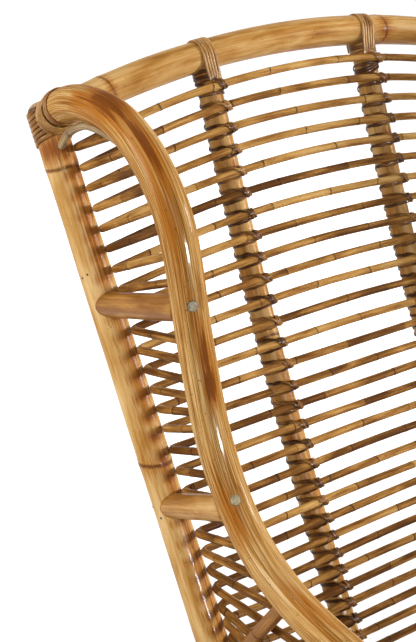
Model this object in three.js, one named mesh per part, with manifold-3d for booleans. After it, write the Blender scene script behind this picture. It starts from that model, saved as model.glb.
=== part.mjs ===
import * as THREE from 'three';
import { mergeVertices } from 'three/addons/utils/BufferGeometryUtils.js';
import Module from 'manifold-3d';

// A high-backed wing chair of bent rattan poles and thin canes.
// Millimetres, +Z up. The sitter faces -Y, and left is the -X side, as seen from in front.
// Heights are above the floor. Places in Y are measured from the middle of the top rail
// until the last lines set the whole chair over the origin.
// The bend of a wing, a post and a cane is drawn once, on the left, and mirrored.

const wasm = await Module();
wasm.setup();

// Diameters of the poles and canes
const postDiameter = 34.5;
const railDiameter = 34;
const armDiameter = 35;
const stileDiameter = 27;
const spacerDiameter = 26;
const strutDiameter = 14;
const seatRailDiameter = 28;
const crossRailDiameter = 30;
const stretcherDiameter = 24;
const caneDiameter = 8.5;
const slatDiameter = 14;
const bearerDiameter = 20;
const plugDiameter = 10;

// Clearance left wherever one piece seats on another
const seatGap = 0.3;

// The arched top rail and the lean of the back, in degrees from upright
const railHeight = 1030.4;
const railEndDrop = 40.4;
const leanAtRail = 22.18;
const leanAtSeat = 30.3;
const leanRun = 645;

// The corner, where the axes of post, top rail and arm pole meet
const cornerHalfWidth = 306.7;
const cornerSetForward = 14.4;
const postLean = 25.7;
const postFlare = 3.68;
const headStand = 18;

// The seat, and what is set off from its height
const seatHeight = 385;
const seatDepth = 511;
const kneeStartOffset = 45;
const kneeOffset = 40;
const kneeEndOffset = 125;
const rearFootSetBack = 140;
const stileKneeOffset = 30;
const stileFootRun = 7;
const stileSpacing = 219;
const crossRailRearOffset = 41;
const crossRailFrontOffset = 31;
const sideRailRearOffset = 11;
const sideRailFrontOffset = 1;
const stretcherHeight = 150;

// The wing: how far the arm pole stands in front of the post, and its level at the armrest
const wingDepth = 196;
const wingEndOffset = 4;

// The arm pole in the plane of the wing, as shares of wing depth and wing drop
const armBendShares = [
  [0.045, -0.006], [0.179, -0.0065], [0.34, -0.004], [0.526, 0.015], [0.755, 0.061], [0.903, 0.124],
  [0.98, 0.193], [1, 0.26], [0.969, 0.329], [0.847, 0.475], [0.74, 0.638], [0.719, 0.721],
  [0.735, 0.8], [0.796, 0.877], [0.913, 0.944], [1.077, 1],
];

// Armrest and front leg
const armrestHeight = 621;
const armrestBendRadius = 85;
const frontFootRake = 14;
const armrestRunShares = [0.3, 0.65];
const legMiddleShare = 0.5;

// Seat deck: slats from side to side on front-to-back bearers
const slatCount = 15;
const slatFrontMargin = 24;
const slatRearMargin = 42;
const slatOverhang = 6;
const bearerCount = 3;
const bearerSpacing = 170;
const bearerSink = 1.2;

// Canes: where the top one and the lowest one lie at mid-back and at the post, and the
// canes between them in zones, with each zone's pitch as a share of the mean pitch
const firstCaneOffset = 25.4;
const lastCaneOffset = 43;
const firstCanePostDrop = 36.7;
const lastCanePostOffset = 33;
const caneZones = [
  { canes: 14, middleShare: 1.111, postShare: 1.035 },
  { canes: 5, middleShare: 0.99, postShare: 1.112 },
  { canes: 4, middleShare: 0.88, postShare: 0.967 },
  { canes: 6, middleShare: 0.829, postShare: 0.846 },
];
const caneBendRadius = 10;

// How a cane rises along the wing, per unit of reach, at some canes counted from the top
const wingRiseShares = [
  [1, 0.053], [6, 0.024], [8, -0.056], [10, -0.19], [12, -0.174],
  [15, -0.023], [20, -0.03], [22, -0.16], [23, -0.25], [24, -0.45], [30, -0.48],
];

// Spacers of the wing, each in the gap between canes that lies nearest to its share of the
// wing's drop, and the plugs in line with them
const spacerOutset = 2.5;
const spacerGapShare = 0.46;
const plugOffset = 7.5;
const spacers = [
  { name: 'upper', wingShare: 0.385, riseShare: -0.1 },
  { name: 'lower', wingShare: 0.82, riseShare: 0.045 },
];
const plugTurn = 20;
const plugDepth = 7;
const plugProud = 0.4;

// The strut, by how far above the seat it starts on the post and how far down the wing it ends
const strutFootOffset = 62;
const strutTopShare = 0.975;

// The short cane that lines the underside of the arm pole's first bend. It starts on the
// post's outer front, turned from straight ahead by some degrees.
const linerStartDrop = 34;
const linerStartTurn = 13;
const linerLiftDrop = 26.5;
const linerLiftReach = 36;
const linerSpanShares = [0.11, 0.26];

// Lashings of flat peel
const peelWidth = 5;
const peelThickness = 1.6;
const peelGap = 0.6;
const peelPitch = 6.2;
const loopSteps = 24;
const cornerLoops = 3;
const cornerLashingReach = 22.7;
const railLoopsBeside = 2;
const railCrossingHalfTurn = 120;
const railLashingInset = 3;
const railLashingSpread = 11;

// Roundness of the facets
const poleSides = 12;
const caneSides = 6;
const slatSides = 8;
const bendPointsPerSpan = 2;
const backSteps = 5;
const bendSteps = 3;
const kneeSteps = 6;
const railSteps = 16;
const stileSteps = 8;

// Tolerance for welding the seams of a sweep, and the overrun of trimming cuts
const weldDistance = 0.001;
const trimRun = 60;

const radians = THREE.MathUtils.degToRad;
const point = (x, y, z) => new THREE.Vector3(x, y, z);

// Directions in the plane of the left wing: down the post, square to it towards the front,
// and square to the wing towards the middle of the chair.
const down = point(Math.tan(radians(postFlare)), -Math.sin(radians(postLean)),
  -Math.cos(radians(postLean))).normalize();
const forward = point(0, -1, 0).addScaledVector(down, down.y).normalize();
const inward = new THREE.Vector3().crossVectors(forward, down);
const corner = point(-cornerHalfWidth, -cornerSetForward, railHeight - railEndDrop);

function wingPlace(drop, reach, inset) {
  return corner.clone().addScaledVector(down, drop).addScaledVector(forward, reach)
    .addScaledVector(inward, inset);
}

// The leaning surface that holds the axes of rail and stiles: its lean grows downwards.
function backSlope(height) {
  const growth = Math.tan(radians(leanAtSeat)) - Math.tan(radians(leanAtRail));
  return Math.tan(radians(leanAtRail)) + growth * (railHeight - height) / leanRun;
}

function backDepth(height) {
  const meanSlope = (Math.tan(radians(leanAtRail)) + backSlope(height)) / 2;
  return -meanSlope * (railHeight - height);
}

// A path through stations, whose rings fall exactly on them.
class StationPath extends THREE.Curve {
  constructor(stations) {
    super();
    this.stations = stations;
  }

  getPoint(share) {
    const place = share * (this.stations.length - 1);
    const before = Math.min(Math.floor(place), this.stations.length - 2);
    return this.stations[before].clone().lerp(this.stations[before + 1], place - before);
  }

  getPointAt(share) {
    return this.getPoint(share);
  }

  getTangentAt(share) {
    const here = Math.round(share * (this.stations.length - 1));
    const tangent = new THREE.Vector3();
    for (const from of [here - 1, here]) {
      if (from < 0 || from > this.stations.length - 2) continue;
      tangent.add(this.stations[from + 1].clone().sub(this.stations[from]).normalize());
    }
    return tangent.normalize();
  }
}

function roundSection(diameter, sides) {
  const corners = [];
  for (let side = 0; side < sides; side += 1) {
    const turn = 2 * Math.PI * side / sides;
    const reach = diameter / 2;
    corners.push(new THREE.Vector2(reach * Math.cos(turn), reach * Math.sin(turn)));
  }
  return new THREE.Shape(corners);
}

// One closed skin with shared corners, whatever class of geometry it came from
function welded(geometry) {
  geometry.deleteAttribute('normal');
  geometry.deleteAttribute('uv');
  return mergeVertices(geometry, weldDistance);
}

function pole(stations, diameter, sides = poleSides) {
  const sweep = new THREE.ExtrudeGeometry(roundSection(diameter, sides), {
    steps: stations.length - 1,
    extrudePath: new StationPath(stations),
    bevelEnabled: false,
  });
  return welded(sweep);
}

// A straight round bar between two points
function bar(from, to, diameter, sides = poleSides) {
  return pole([from, to], diameter, sides);
}

// The same pole with the seat gap added all round, to cut its neighbours with
function seatFor(stations, diameter, sides = poleSides) {
  return pole(stations, diameter + 2 * seatGap, sides);
}

function toSolid(geometry) {
  return new wasm.Manifold(new wasm.Mesh({
    numProp: 3,
    vertProperties: new Float32Array(geometry.attributes.position.array),
    triVerts: new Uint32Array(geometry.index.array),
  }));
}

function fromSolid(solid) {
  const mesh = solid.getMesh();
  const geometry = new THREE.BufferGeometry();
  geometry.setAttribute('position', new THREE.BufferAttribute(mesh.vertProperties, 3));
  geometry.setIndex(new THREE.BufferAttribute(mesh.triVerts, 1));
  return geometry;
}

function cut(geometry, ...cutters) {
  let solid = toSolid(geometry);
  for (const cutter of cutters) solid = solid.subtract(toSolid(cutter));
  return fromSolid(solid);
}

function join(...geometries) {
  let solid = toSolid(geometries[0]);
  for (const next of geometries.slice(1)) solid = solid.add(toSolid(next));
  return fromSolid(solid);
}

function mirrored(geometry) {
  const twin = geometry.clone().applyMatrix4(new THREE.Matrix4().makeScale(-1, 1, 1));
  const corners = twin.index.array;
  for (let i = 0; i < corners.length; i += 3) {
    [corners[i + 1], corners[i + 2]] = [corners[i + 2], corners[i + 1]];
  }
  return twin;
}

const mirroredPoint = (place) => point(-place.x, place.y, place.z);

// Finishes
const skinFinish = { color: 0xbf8a4c, roughness: 0.32, metalness: 0 };
const peeledFinish = { color: 0xb57b3c, roughness: 0.38, metalness: 0 };
const caneFinish = { color: 0xa97a43, roughness: 0.45, metalness: 0 };
const peelFinish = { color: 0xa37847, roughness: 0.4, metalness: 0 };
const plugFinish = { color: 0x77714f, roughness: 0.6, metalness: 0 };

const chair = new THREE.Group();

function place(name, geometry, finish) {
  geometry.computeVertexNormals();
  const mesh = new THREE.Mesh(geometry, new THREE.MeshStandardMaterial(finish));
  mesh.name = name;
  chair.add(mesh);
}

function placePair(name, geometry, finish) {
  place(`${name}_left`, geometry, finish);
  place(`${name}_right`, mirrored(geometry), finish);
}

// Everything below the floor, to trim the feet flat
function floorCutter() {
  const halfWidth = cornerHalfWidth + trimRun;
  const depth = seatDepth - backDepth(seatHeight) + 2 * trimRun;
  const box = new THREE.BoxGeometry(2 * halfWidth, depth, trimRun);
  box.translate(0, trimRun - depth / 2, -trimRun / 2);
  return welded(box);
}

// Rear post: straight down the wing, a knee at the seat, then a leg that runs back
function postStations() {
  const dropTo = (height) => (corner.z - height) / -down.z;
  const kneeStart = wingPlace(dropTo(seatHeight + kneeStartOffset), 0, 0);
  const knee = wingPlace(dropTo(seatHeight - kneeOffset), 0, 0);
  const foot = point(knee.x, knee.y + rearFootSetBack, 0);
  const legShare = (kneeEndOffset - kneeOffset) / knee.z;
  const kneeEnd = knee.clone().lerp(foot, legShare);
  const belowFloor = foot.clone().addScaledVector(foot.clone().sub(knee).normalize(), trimRun / 2);
  const bend = new THREE.QuadraticBezierCurve3(kneeStart, knee, kneeEnd).getPoints(kneeSteps);
  return [wingPlace(-headStand, 0, 0), ...bend, belowFloor];
}

// Arm pole: corner, over the top of the wing, down in an S, along the armrest, front leg
function armStations() {
  const wing = armBendShares.map(([reachShare, dropShare]) => (
    wingPlace(dropShare * wingDrop, reachShare * wingDepth, 0)));
  const wingEnd = wing[wing.length - 1];
  const bendStart = point(wingEnd.x, frontLegDepth + armrestBendRadius, armrestHeight);
  const rest = armrestRunShares.map((share) => (
    point(wingEnd.x, THREE.MathUtils.lerp(wingEnd.y, bendStart.y, share), armrestHeight)));
  const bend = [0, 30, 60, 90].map((turn) => point(wingEnd.x,
    bendStart.y - armrestBendRadius * Math.sin(radians(turn)),
    armrestHeight - armrestBendRadius * (1 - Math.cos(radians(turn)))));
  const legTop = bend[bend.length - 1];
  const foot = point(wingEnd.x, frontLegDepth - frontFootRake, -trimRun / 2);
  const route = [...wing, ...rest, ...bend, legTop.clone().lerp(foot, legMiddleShare), foot];
  const curve = new THREE.CatmullRomCurve3(route, false, 'centripetal');
  return curve.getPoints((route.length - 1) * bendPointsPerSpan);
}

// The first place where the arm pole's axis crosses a line drawn in the plane of the wing
// from a drop on the post, rising by a share of its reach.
function armCrossing(drop, rise) {
  const above = arm.map((place) => {
    const offset = place.clone().sub(corner);
    return drop - rise * offset.dot(forward) - offset.dot(down);
  });
  const next = above.findIndex((value, i) => i > 0 && value < 0 && above[i - 1] >= 0);
  const [from, to] = [arm[next - 1], arm[next]];
  const share = above[next - 1] / (above[next - 1] - above[next]);
  return { at: from.clone().lerp(to, share), along: to.clone().sub(from).normalize() };
}

function railPoint(x) {
  const height = railHeight - railEndDrop * (x / cornerHalfWidth) ** 2;
  return point(x, backDepth(height), height);
}

function railStations() {
  const stations = [];
  for (let step = 0; step <= railSteps; step += 1) {
    stations.push(railPoint(cornerHalfWidth * (2 * step / railSteps - 1)));
  }
  return stations;
}

function stileStations() {
  const x = -stileSpacing / 2;
  const top = railPoint(x);
  const stations = [top];
  for (let step = 1; step <= stileSteps; step += 1) {
    const height = THREE.MathUtils.lerp(top.z, seatHeight + stileKneeOffset, step / stileSteps);
    stations.push(point(x, backDepth(height), height));
  }
  stations.push(point(x, rearRailDepth, seatHeight - crossRailRearOffset));
  return stations;
}

// The share of rise for a cane, read between the canes that the table names
function wingRise(caneNumber) {
  const next = wingRiseShares.findIndex(([number]) => number > caneNumber);
  if (next < 0) return wingRiseShares[wingRiseShares.length - 1][1];
  const [fromNumber, fromRise] = wingRiseShares[next - 1];
  const [toNumber, toRise] = wingRiseShares[next];
  return THREE.MathUtils.mapLinear(caneNumber, fromNumber, toNumber, fromRise, toRise);
}

// Rows of canes from the top down: height at mid-back and drop along the post
function caneRows() {
  const middleRun = railHeight - firstCaneOffset - seatHeight - lastCaneOffset;
  const lastPostDrop = (corner.z - seatHeight - lastCanePostOffset) / -down.z;
  const postRun = lastPostDrop - firstCanePostDrop;
  const total = (key) => caneZones.reduce((sum, zone) => sum + zone.canes * zone[key], 0);
  const rows = [{ middleHeight: railHeight - firstCaneOffset, postDrop: firstCanePostDrop }];
  for (const zone of caneZones) {
    for (let cane = 0; cane < zone.canes; cane += 1) {
      const above = rows[rows.length - 1];
      rows.push({
        middleHeight: above.middleHeight - middleRun * zone.middleShare / total('middleShare'),
        postDrop: above.postDrop + postRun * zone.postShare / total('postShare'),
      });
    }
  }
  return rows;
}

// A cane ends against the arm pole, half on its inner face and half on the face it comes to.
function caneEnd(from, { at, along }) {
  const back = from.clone().sub(at);
  back.addScaledVector(along, -back.dot(along)).addScaledVector(inward, -back.dot(inward));
  const armFace = (armDiameter + caneDiameter) / 2 + seatGap;
  const side = inward.clone().addScaledVector(along, -inward.dot(along));
  return at.clone().add(side.normalize().add(back.normalize()).setLength(armFace));
}

// Left half of one cane: across the stiles' face, a tight bend inside the post, and along
// the wing to the inner face of the arm pole or the front leg.
function caneHalfStations(row, rise) {
  const touch = (postDiameter + caneDiameter) / 2 + seatGap;
  const seat = (touch + caneBendRadius) / Math.SQRT2 - caneBendRadius;
  const bendCorner = wingPlace(row.postDrop, seat, seat);
  const stileClear = (stileDiameter + caneDiameter) / 2 + seatGap;
  const surface = (height) => backDepth(height) - stileClear * Math.hypot(1, backSlope(height));
  const backPoint = (share) => {
    const height = THREE.MathUtils.lerp(row.middleHeight, bendCorner.z, share ** 2);
    const pull = (bendCorner.y - surface(bendCorner.z)) * share ** 5;
    return point(share * bendCorner.x, surface(height) + pull, height);
  };
  const stations = [];
  for (let step = 0; step < backSteps; step += 1) stations.push(backPoint(step / backSteps));
  const end = caneEnd(bendCorner, armCrossing(row.postDrop + rise * seat, rise));
  const towardsBack = stations[backSteps - 1].clone().sub(bendCorner).normalize();
  const towardsArm = end.clone().sub(bendCorner).normalize();
  for (let step = 0; step <= bendSteps; step += 1) {
    const turn = Math.PI / 2 * step / bendSteps;
    stations.push(bendCorner.clone()
      .addScaledVector(towardsBack, caneBendRadius * (1 - Math.sin(turn)))
      .addScaledVector(towardsArm, caneBendRadius * (1 - Math.cos(turn))));
  }
  stations.push(end);
  return stations;
}

function cane(row, rise) {
  const left = caneHalfStations(row, rise);
  const right = left.slice(1).map(mirroredPoint);
  return pole([...left.reverse(), ...right], caneDiameter, caneSides);
}

// Cane that lines the arm pole from below, from the face of the post round the first bend
function linerStations() {
  const postFace = (postDiameter + caneDiameter) / 2 + seatGap;
  const armFace = (armDiameter + caneDiameter) / 2 + seatGap;
  const turn = radians(linerStartTurn);
  const stations = [
    wingPlace(linerStartDrop, postFace * Math.cos(turn), -postFace * Math.sin(turn)),
  ];
  stations.push(wingPlace(linerLiftDrop, linerLiftReach, 0));
  const [first, last] = linerSpanShares.map((share) => Math.round(share * (arm.length - 1)));
  for (let i = first; i <= last; i += 1) {
    const along = arm[i + 1].clone().sub(arm[i - 1]).normalize();
    const under = new THREE.Vector3().crossVectors(along, inward).normalize();
    stations.push(arm[i].clone().addScaledVector(under, -armFace));
  }
  return new THREE.CatmullRomCurve3(stations).getPoints(2 * (stations.length - 1));
}

// Wing spacer: a short pole coped at both ends, across from post to arm pole
function spacerDrop({ wingShare }) {
  const gaps = rows.slice(1).map((row, i) => (
    THREE.MathUtils.lerp(rows[i].postDrop, row.postDrop, spacerGapShare)));
  const away = (gap) => Math.abs(gap - wingShare * wingDrop);
  return gaps.reduce((best, gap) => (away(gap) < away(best) ? gap : best));
}

function spacer(each) {
  const outwards = inward.clone().multiplyScalar(-spacerOutset);
  const drop = spacerDrop(each);
  const from = wingPlace(drop, 0, 0).add(outwards);
  const to = armCrossing(drop, each.riseShare).at.add(outwards);
  return cut(bar(from, to, spacerDiameter), postSeat, armSeat);
}

// Wooden plug over the fixing of a spacer, square into the front of the arm pole
function plug(each, diameter, stand) {
  const { at, along } = armCrossing(spacerDrop(each), each.riseShare);
  const middle = at.addScaledVector(along, -plugOffset);
  const turned = forward.clone().multiplyScalar(Math.cos(radians(plugTurn)))
    .addScaledVector(inward, -Math.sin(radians(plugTurn)));
  turned.addScaledVector(along, -turned.dot(along)).normalize();
  const face = armDiameter / 2;
  return bar(middle.clone().addScaledVector(turned, face - plugDepth),
    middle.clone().addScaledVector(turned, face + stand), diameter);
}

// A winding of flat peel: one unbroken band whose section turns with the path.
// Each station has its place and the direction that the flat side faces.
function winding(stations) {
  const half = { width: peelWidth / 2, thickness: peelThickness / 2 };
  const shares = [[-1, 0], [-0.6, 1], [0.6, 1], [1, 0], [0.6, -1], [-0.6, -1]];
  const corners = [];
  stations.forEach(({ at, facing }, i) => {
    const before = stations[Math.max(i - 1, 0)].at;
    const after = stations[Math.min(i + 1, stations.length - 1)].at;
    const along = after.clone().sub(before).normalize();
    const across = new THREE.Vector3().crossVectors(along, facing).normalize();
    const outwards = new THREE.Vector3().crossVectors(across, along).normalize();
    for (const [widthShare, thicknessShare] of shares) {
      corners.push(at.clone().addScaledVector(across, half.width * widthShare)
        .addScaledVector(outwards, half.thickness * thicknessShare));
    }
  });
  const sides = shares.length;
  const faces = [];
  for (let ring = 0; ring < stations.length - 1; ring += 1) {
    for (let side = 0; side < sides; side += 1) {
      const next = (side + 1) % sides;
      const [a, b] = [ring * sides + side, ring * sides + next];
      faces.push(a, b, b + sides, a, b + sides, a + sides);
    }
  }
  const last = (stations.length - 1) * sides;
  for (let side = 1; side < sides - 1; side += 1) {
    faces.push(0, side + 1, side, last, last + side, last + side + 1);
  }
  const geometry = new THREE.BufferGeometry().setFromPoints(corners);
  geometry.setIndex(faces);
  return { geometry, corners, sides };
}

// Least distance between two turns of a winding, measured on its corner points
function leastGap({ corners, sides }) {
  const apart = sides * loopSteps / 2;
  let least = Infinity;
  for (let i = 0; i < corners.length; i += 1) {
    for (let j = i + apart; j < corners.length; j += 1) {
      least = Math.min(least, corners[i].distanceTo(corners[j]));
    }
  }
  return least;
}

// A straight tail of one band width at each end of a winding
function withTails(stations) {
  const tail = (end, inner) => ({
    at: end.at.clone().add(end.at.clone().sub(inner.at).setLength(peelWidth)),
    facing: end.facing,
  });
  const count = stations.length;
  return [tail(stations[0], stations[1]), ...stations,
    tail(stations[count - 1], stations[count - 2])];
}

function placeWinding(name, stations) {
  const band = winding(withTails(stations));
  console.log(`${name}: least gap between turns ${leastGap(band).toFixed(2)} mm`);
  placePair(name, band.geometry, peelFinish);
}

// Bands round the root of the arm pole, in front of the post
function cornerLashing() {
  const radius = armDiameter / 2 + peelGap + peelThickness / 2;
  const rootDrop = armBendShares[1][1] * wingDrop;
  const stations = [];
  for (let step = 0; step <= cornerLoops * loopSteps; step += 1) {
    const turn = 2 * Math.PI * step / loopSteps;
    const facing = down.clone().multiplyScalar(Math.cos(turn))
      .addScaledVector(inward, Math.sin(turn));
    const reach = cornerLashingReach + peelPitch * step / loopSteps;
    stations.push({ at: wingPlace(rootDrop, reach, 0).addScaledVector(facing, radius), facing });
  }
  return stations;
}

// Bands round the top rail: they cross it above the stile and pass below it on both sides
function railLashing() {
  const radius = railDiameter / 2 + peelGap + peelThickness / 2;
  const lastStep = railLoopsBeside * loopSteps;
  const stations = [];
  for (let step = -lastStep; step <= lastStep; step += 1) {
    const turn = 2 * Math.PI * step / loopSteps;
    const side = THREE.MathUtils.clamp(turn / radians(railCrossingHalfTurn), -1, 1);
    const spread = railLashingSpread * (1 - Math.cos(turn)) / 2;
    const x = side * (railLashingInset + spread) + peelPitch * step / loopSteps;
    const facing = point(0, Math.sin(turn), Math.cos(turn));
    stations.push({ at: railPoint(x - stileSpacing / 2).addScaledVector(facing, radius), facing });
  }
  return stations;
}

// Seat deck: slats on the side rails, let a little into the bearers below them
function seatDeck() {
  const [rearEnd, frontEnd] = sideRail;
  const slatLift = (seatRailDiameter + slatDiameter) / 2 + seatGap;
  const deckFront = frontLegDepth + slatFrontMargin;
  const deckRear = rearRailDepth - slatRearMargin;
  const onRail = (depth) => {
    const share = (depth - rearEnd.y) / (frontEnd.y - rearEnd.y);
    return rearEnd.clone().lerp(frontEnd, share);
  };
  const slats = [];
  for (let slat = 0; slat < slatCount; slat += 1) {
    const depth = THREE.MathUtils.lerp(deckRear, deckFront, slat / (slatCount - 1));
    const end = onRail(depth).add(point(-slatOverhang, 0, slatLift));
    slats.push(bar(end, mirroredPoint(end), slatDiameter, slatSides));
  }
  const bearerLift = slatLift - (slatDiameter + bearerDiameter) / 2 + bearerSink;
  const bearers = [];
  for (let bearer = 0; bearer < bearerCount; bearer += 1) {
    const x = bearerSpacing * (bearer - (bearerCount - 1) / 2);
    const [from, to] = [rearRailDepth, frontLegDepth].map((depth) => (
      point(x, depth, onRail(depth).z + bearerLift)));
    bearers.push(bar(from, to, bearerDiameter, slatSides));
  }
  return cut(join(...bearers, ...slats), rearRailSeat, frontRailSeat);
}

// Levels and depths that several pieces share
const rearRailDepth = backDepth(seatHeight + stileKneeOffset) - stileFootRun;
const frontLegDepth = rearRailDepth - seatDepth;

const wingEndReach = armBendShares[armBendShares.length - 1][0] * wingDepth;
const wingEndHeight = armrestHeight + wingEndOffset;
const wingDrop = (corner.z + forward.z * wingEndReach - wingEndHeight) / -down.z;
const rows = caneRows();

const post = postStations();
const arm = armStations();
const rail = railStations();
const postSeat = seatFor([wingPlace(-headStand - trimRun, 0, 0), ...post.slice(1)], postDiameter);
const armSeat = seatFor(arm, armDiameter);
const railSeat = seatFor(rail, railDiameter);
const floor = floorCutter();

// The axis of a pole at a height, searched from its lower end
function axisAt(stations, height) {
  for (let i = stations.length - 1; i > 0; i -= 1) {
    const [below, above] = [stations[i], stations[i - 1]];
    if (below.z <= height && above.z > height) {
      return below.clone().lerp(above, (height - below.z) / (above.z - below.z));
    }
  }
  return stations[0].clone();
}

// Seat rails and stretchers run from axis to axis and are coped round the legs
const rearRailEnd = axisAt(post, seatHeight - crossRailRearOffset).setY(rearRailDepth);
const frontRailEnd = axisAt(arm, seatHeight - crossRailFrontOffset);
const sideRail = [
  axisAt(post, seatHeight - sideRailRearOffset),
  axisAt(arm, seatHeight - sideRailFrontOffset),
];
const stretcher = [axisAt(post, stretcherHeight), axisAt(arm, stretcherHeight)];
const rearRail = [rearRailEnd, mirroredPoint(rearRailEnd)];
const frontRail = [frontRailEnd, mirroredPoint(frontRailEnd)];
const rearRailSeat = seatFor(rearRail, crossRailDiameter);
const frontRailSeat = seatFor(frontRail, crossRailDiameter);
const plugHoles = spacers.map((each) => plug(each, plugDiameter + 2 * seatGap, plugDepth));

placePair('rear_post', cut(pole(post, postDiameter), floor), skinFinish);
placePair('arm_pole', cut(pole(arm, armDiameter), postSeat, floor, ...plugHoles), peeledFinish);
place('top_rail', cut(pole(rail, railDiameter), postSeat, mirrored(postSeat), armSeat,
  mirrored(armSeat)), skinFinish);
placePair('back_stile', cut(pole(stileStations(), stileDiameter), railSeat, rearRailSeat),
  skinFinish);

rows.forEach((row, i) => {
  const number = String(i + 1).padStart(2, '0');
  place(`back_cane_${number}`, cane(row, wingRise(i + 1)), caneFinish);
});
placePair('wing_liner_cane', pole(linerStations(), caneDiameter, caneSides), caneFinish);

for (const each of spacers) {
  placePair(`wing_spacer_${each.name}`, spacer(each), skinFinish);
  placePair(`wood_plug_${each.name}`, plug(each, plugDiameter, plugProud),
    plugFinish);
}
const strutFootDrop = (corner.z - seatHeight - strutFootOffset) / -down.z;
const strutEnds = [wingPlace(strutFootDrop, 0, 0), armCrossing(strutTopShare * wingDrop, 0).at];
placePair('wing_strut', cut(bar(...strutEnds, strutDiameter), postSeat, armSeat), skinFinish);

place('seat_rail_rear', cut(bar(...rearRail, crossRailDiameter), postSeat, mirrored(postSeat)),
  skinFinish);
place('seat_rail_front', cut(bar(...frontRail, crossRailDiameter), armSeat, mirrored(armSeat)),
  skinFinish);
placePair('seat_rail_side', cut(bar(...sideRail, seatRailDiameter), postSeat, armSeat,
  rearRailSeat, frontRailSeat), skinFinish);
placePair('side_stretcher', cut(bar(...stretcher, stretcherDiameter), postSeat, armSeat),
  skinFinish);
place('seat_deck', seatDeck(), caneFinish);

placeWinding('corner_lashing', cornerLashing());
placeWinding('rail_lashing', railLashing());

// Stand the chair on the origin, under the middle of its outline
const outline = new THREE.Box3().setFromObject(chair);
const middle = outline.getCenter(new THREE.Vector3());
chair.position.set(-middle.x, -middle.y, -outline.min.z);
chair.updateMatrixWorld(true);

export default chair;
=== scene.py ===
import bpy
import numpy as np
from mathutils import Matrix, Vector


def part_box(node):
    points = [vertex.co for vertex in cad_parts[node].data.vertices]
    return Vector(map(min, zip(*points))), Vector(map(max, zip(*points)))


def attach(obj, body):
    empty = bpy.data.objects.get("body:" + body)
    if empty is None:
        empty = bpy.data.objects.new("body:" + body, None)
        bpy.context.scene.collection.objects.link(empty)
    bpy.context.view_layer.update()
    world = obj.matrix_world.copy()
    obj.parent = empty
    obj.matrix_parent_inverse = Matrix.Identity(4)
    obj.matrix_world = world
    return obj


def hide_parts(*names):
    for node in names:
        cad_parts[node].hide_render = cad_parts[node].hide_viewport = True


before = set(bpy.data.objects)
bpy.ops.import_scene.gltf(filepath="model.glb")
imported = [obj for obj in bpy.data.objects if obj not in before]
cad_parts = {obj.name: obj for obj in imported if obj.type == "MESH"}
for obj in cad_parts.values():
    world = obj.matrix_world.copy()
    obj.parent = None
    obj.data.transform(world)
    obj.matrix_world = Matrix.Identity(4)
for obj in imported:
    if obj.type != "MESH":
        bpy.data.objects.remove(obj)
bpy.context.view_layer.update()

# ------------ sizes of the chair
MM = 0.001
POST_R, RAIL_R, ARM_R, STILE_R = 17.25 * MM, 17 * MM, 17.5 * MM, 13.5 * MM
SPACER_R, STRUT_R, CANE_R, PLUG_R = 13 * MM, 7 * MM, 4.25 * MM, 5.4 * MM
SIDE_RAIL_R, CROSS_RAIL_R, STRETCHER_R, SLAT_R, BEARER_R = 14 * MM, 15 * MM, 12 * MM, 7 * MM, 10 * MM
GAP, HEAD_ROUND = 0.3 * MM, 12 * MM

RAIL_HEIGHT, RAIL_END_DROP, LEAN_RUN = 1.0304, 0.0404, 0.645
SLOPE_TOP, SLOPE_SEAT = np.tan(np.radians(22.18)), np.tan(np.radians(30.3))
CORNER_HALF, CORNER_FORWARD, HEAD_STAND = 0.3067, 0.0144, 0.018
POST_LEAN, POST_FLARE = np.radians(25.7), np.radians(3.68)
SEAT, SEAT_DEPTH, STILE_X, WING_DEPTH = 0.385, 0.511, 0.1095, 0.196
ARMREST, LEG_BEND_R, CANE_BEND, STRETCHER_HEIGHT = 0.621, 0.085, 0.010, 0.150
# Heights where a stile leaves the back's curve and of the seat rails' middles, for a side rail
# at the rear post and at the front leg
STILE_LOW, REAR_RAIL_HEIGHT, FRONT_RAIL_HEIGHT = SEAT + 0.030, SEAT - 0.041, SEAT - 0.031
SIDE_RAIL_HEIGHTS = SEAT - 0.011, SEAT - 0.001


def unit(v):
    """v divided by its length, along the last axis."""
    return v / np.linalg.norm(v, axis=-1, keepdims=True)


def vec(*xyz):
    return np.array(xyz, float)


def joined(*parts, axis=0):
    return np.concatenate(parts, axis)


def columns(*values):
    return np.stack(np.broadcast_arrays(*values), -1)


def blend(a, b, share):
    return a + (b - a) * share


def bell(distance, width):
    """A smooth bump: e to the minus square of distance over width."""
    return np.exp(-((distance / width) ** 2))


def back_slope(height):
    """The back's lean as run over rise, growing in proportion to the distance below the rail."""
    return SLOPE_TOP + (SLOPE_SEAT - SLOPE_TOP) * (RAIL_HEIGHT - height) / LEAN_RUN


def back_set(height):
    """Depth of the leaning back, measured from the middle of the top rail: mean slope times drop."""
    return -(SLOPE_TOP + back_slope(height)) / 2 * (RAIL_HEIGHT - height)


REAR_RAIL_SET = back_set(STILE_LOW) - 0.007
rear_low, rear_high = (np.array(c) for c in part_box("seat_rail_rear"))
RAIL_Y = (rear_low[1] + rear_high[1]) / 2 - REAR_RAIL_SET
REAR_RAIL_Y = RAIL_Y + REAR_RAIL_SET
FRONT_LEG_Y = REAR_RAIL_Y - SEAT_DEPTH

DOWN = unit(vec(np.tan(POST_FLARE), -np.sin(POST_LEAN), -np.cos(POST_LEAN)))
FORWARD = unit(vec(0, -1, 0) + DOWN * DOWN[1])
INWARD = np.cross(FORWARD, DOWN)
CORNER = vec(-CORNER_HALF, RAIL_Y - CORNER_FORWARD, RAIL_HEIGHT - RAIL_END_DROP)
X, Y, Z = np.eye(3)
MIRROR = vec(-1, 1, 1)


def back_depth(height):
    return RAIL_Y + back_set(height)


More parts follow.
